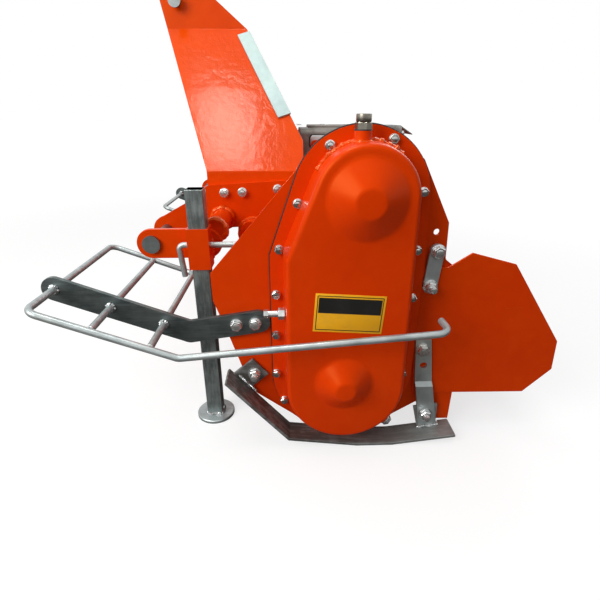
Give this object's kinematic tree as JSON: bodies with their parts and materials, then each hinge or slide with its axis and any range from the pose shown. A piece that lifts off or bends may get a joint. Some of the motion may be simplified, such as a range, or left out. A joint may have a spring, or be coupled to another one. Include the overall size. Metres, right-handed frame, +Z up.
{
  "type": "tractor-mounted rotavator",
  "caption": "Rotavator for a compact tractor's three-point hitch: side chain case, tined rotor, hinged tailboard, bent-rod side guards, skids and a sliding parking stand.",
  "frame": {"origin": "on the floor under the middle of the machine's overall length and width, as it stands parked on its skids and stand foot", "axes": "+X to the rear, away from the tractor; +Y to the right of travel, along the rotor; +Z up"},
  "size_m": [0.955, 1.186, 0.8765],
  "materials": {
    "orange_paint": "glossy powder coat, fine orange peel",
    "zinc_plate": "zinc plated, streaky satin",
    "bright_zinc": "bright zinc plated",
    "pin_steel": "plated, satin",
    "bare_steel": "bare mill finish sheet",
    "grey_casting": "silver-grey casting paint",
    "machined_steel": "machined",
    "black_plastic": "black moulded guard",
    "tine_steel": "black painted spring steel"
  },
  "bodies": {
    "frame": {"case_back_plate": "orange_paint", "case_cover": "orange_paint", "chain_tensioner": "bright_zinc", "cross_tube": "orange_paint", "drain_plug": "bright_zinc", "drive_cap_right": "orange_paint", "drive_tube_left": "orange_paint", "drive_tube_right": "orange_paint", "filler_plug": "bright_zinc", "gearbox": "grey_casting", "gearbox_brackets": "orange_paint", "gearbox_rear_cover": "grey_casting", "guard_carrier_left": "zinc_plate", "guard_carrier_right": "zinc_plate", "guard_rails_left": "zinc_plate", "guard_rails_right": "zinc_plate", "hitch_ear_left": "orange_paint", "hitch_ear_right": "orange_paint", "hitch_frame_left": "orange_paint", "hitch_frame_right": "orange_paint", "hitch_pin_left": "pin_steel", "hitch_pin_right": "pin_steel", "hitch_spacers": "orange_paint", "hood": "orange_paint", "mast_left": "orange_paint", "mast_right": "orange_paint", "mast_straps": "zinc_plate", "pto_shield": "black_plastic", "rotor_bearing_right": "orange_paint", "side_plate_left": "orange_paint", "side_plate_right": "orange_paint", "skid_left": "bare_steel", "skid_rear_straps": "zinc_plate", "skid_right": "bare_steel", "stand_pin": "bright_zinc", "stand_sleeve": "orange_paint", "tail_wing_left": "orange_paint", "tail_wing_right": "orange_paint", "tailboard_hinge_rod": "bright_zinc", "top_link_pin": "pin_steel", "wing_links": "zinc_plate"},
    "rotor": {"rotor_tube": "orange_paint", "rotor_flanges": "orange_paint", "tines_left_hand": "tine_steel", "tines_right_hand": "tine_steel"},
    "pto_drive": {"pto_shaft": "machined_steel"},
    "rear_board": {"tailboard": "orange_paint"},
    "stand": {"stand_leg": "zinc_plate", "stand_foot": "zinc_plate"}
  },
  "joints": [
    {"name": "rotor_spin", "type": "hinge", "parent": "frame", "child": "rotor", "pos_m": [0.0525, 0, 0.163], "axis": [0, -1, 0], "continuous": true},
    {"name": "pto_spin", "type": "hinge", "parent": "frame", "child": "pto_drive", "pos_m": [-0.0465, 0, 0.49], "axis": [-1, 0, 0], "continuous": true},
    {"name": "tailboard_hinge", "type": "hinge", "parent": "frame", "child": "rear_board", "pos_m": [0.2225, 0, 0.355], "axis": [0, -1, 0], "range_deg": [-10, 55]},
    {"name": "stand_slide", "type": "slide", "parent": "frame", "child": "stand", "axis": [0, 0, 1], "range_m": [0, 0.15]}
  ],
  "couplings": [
    {"joint": "pto_spin", "follows": "rotor_spin", "ratio": 2.55}
  ]
}
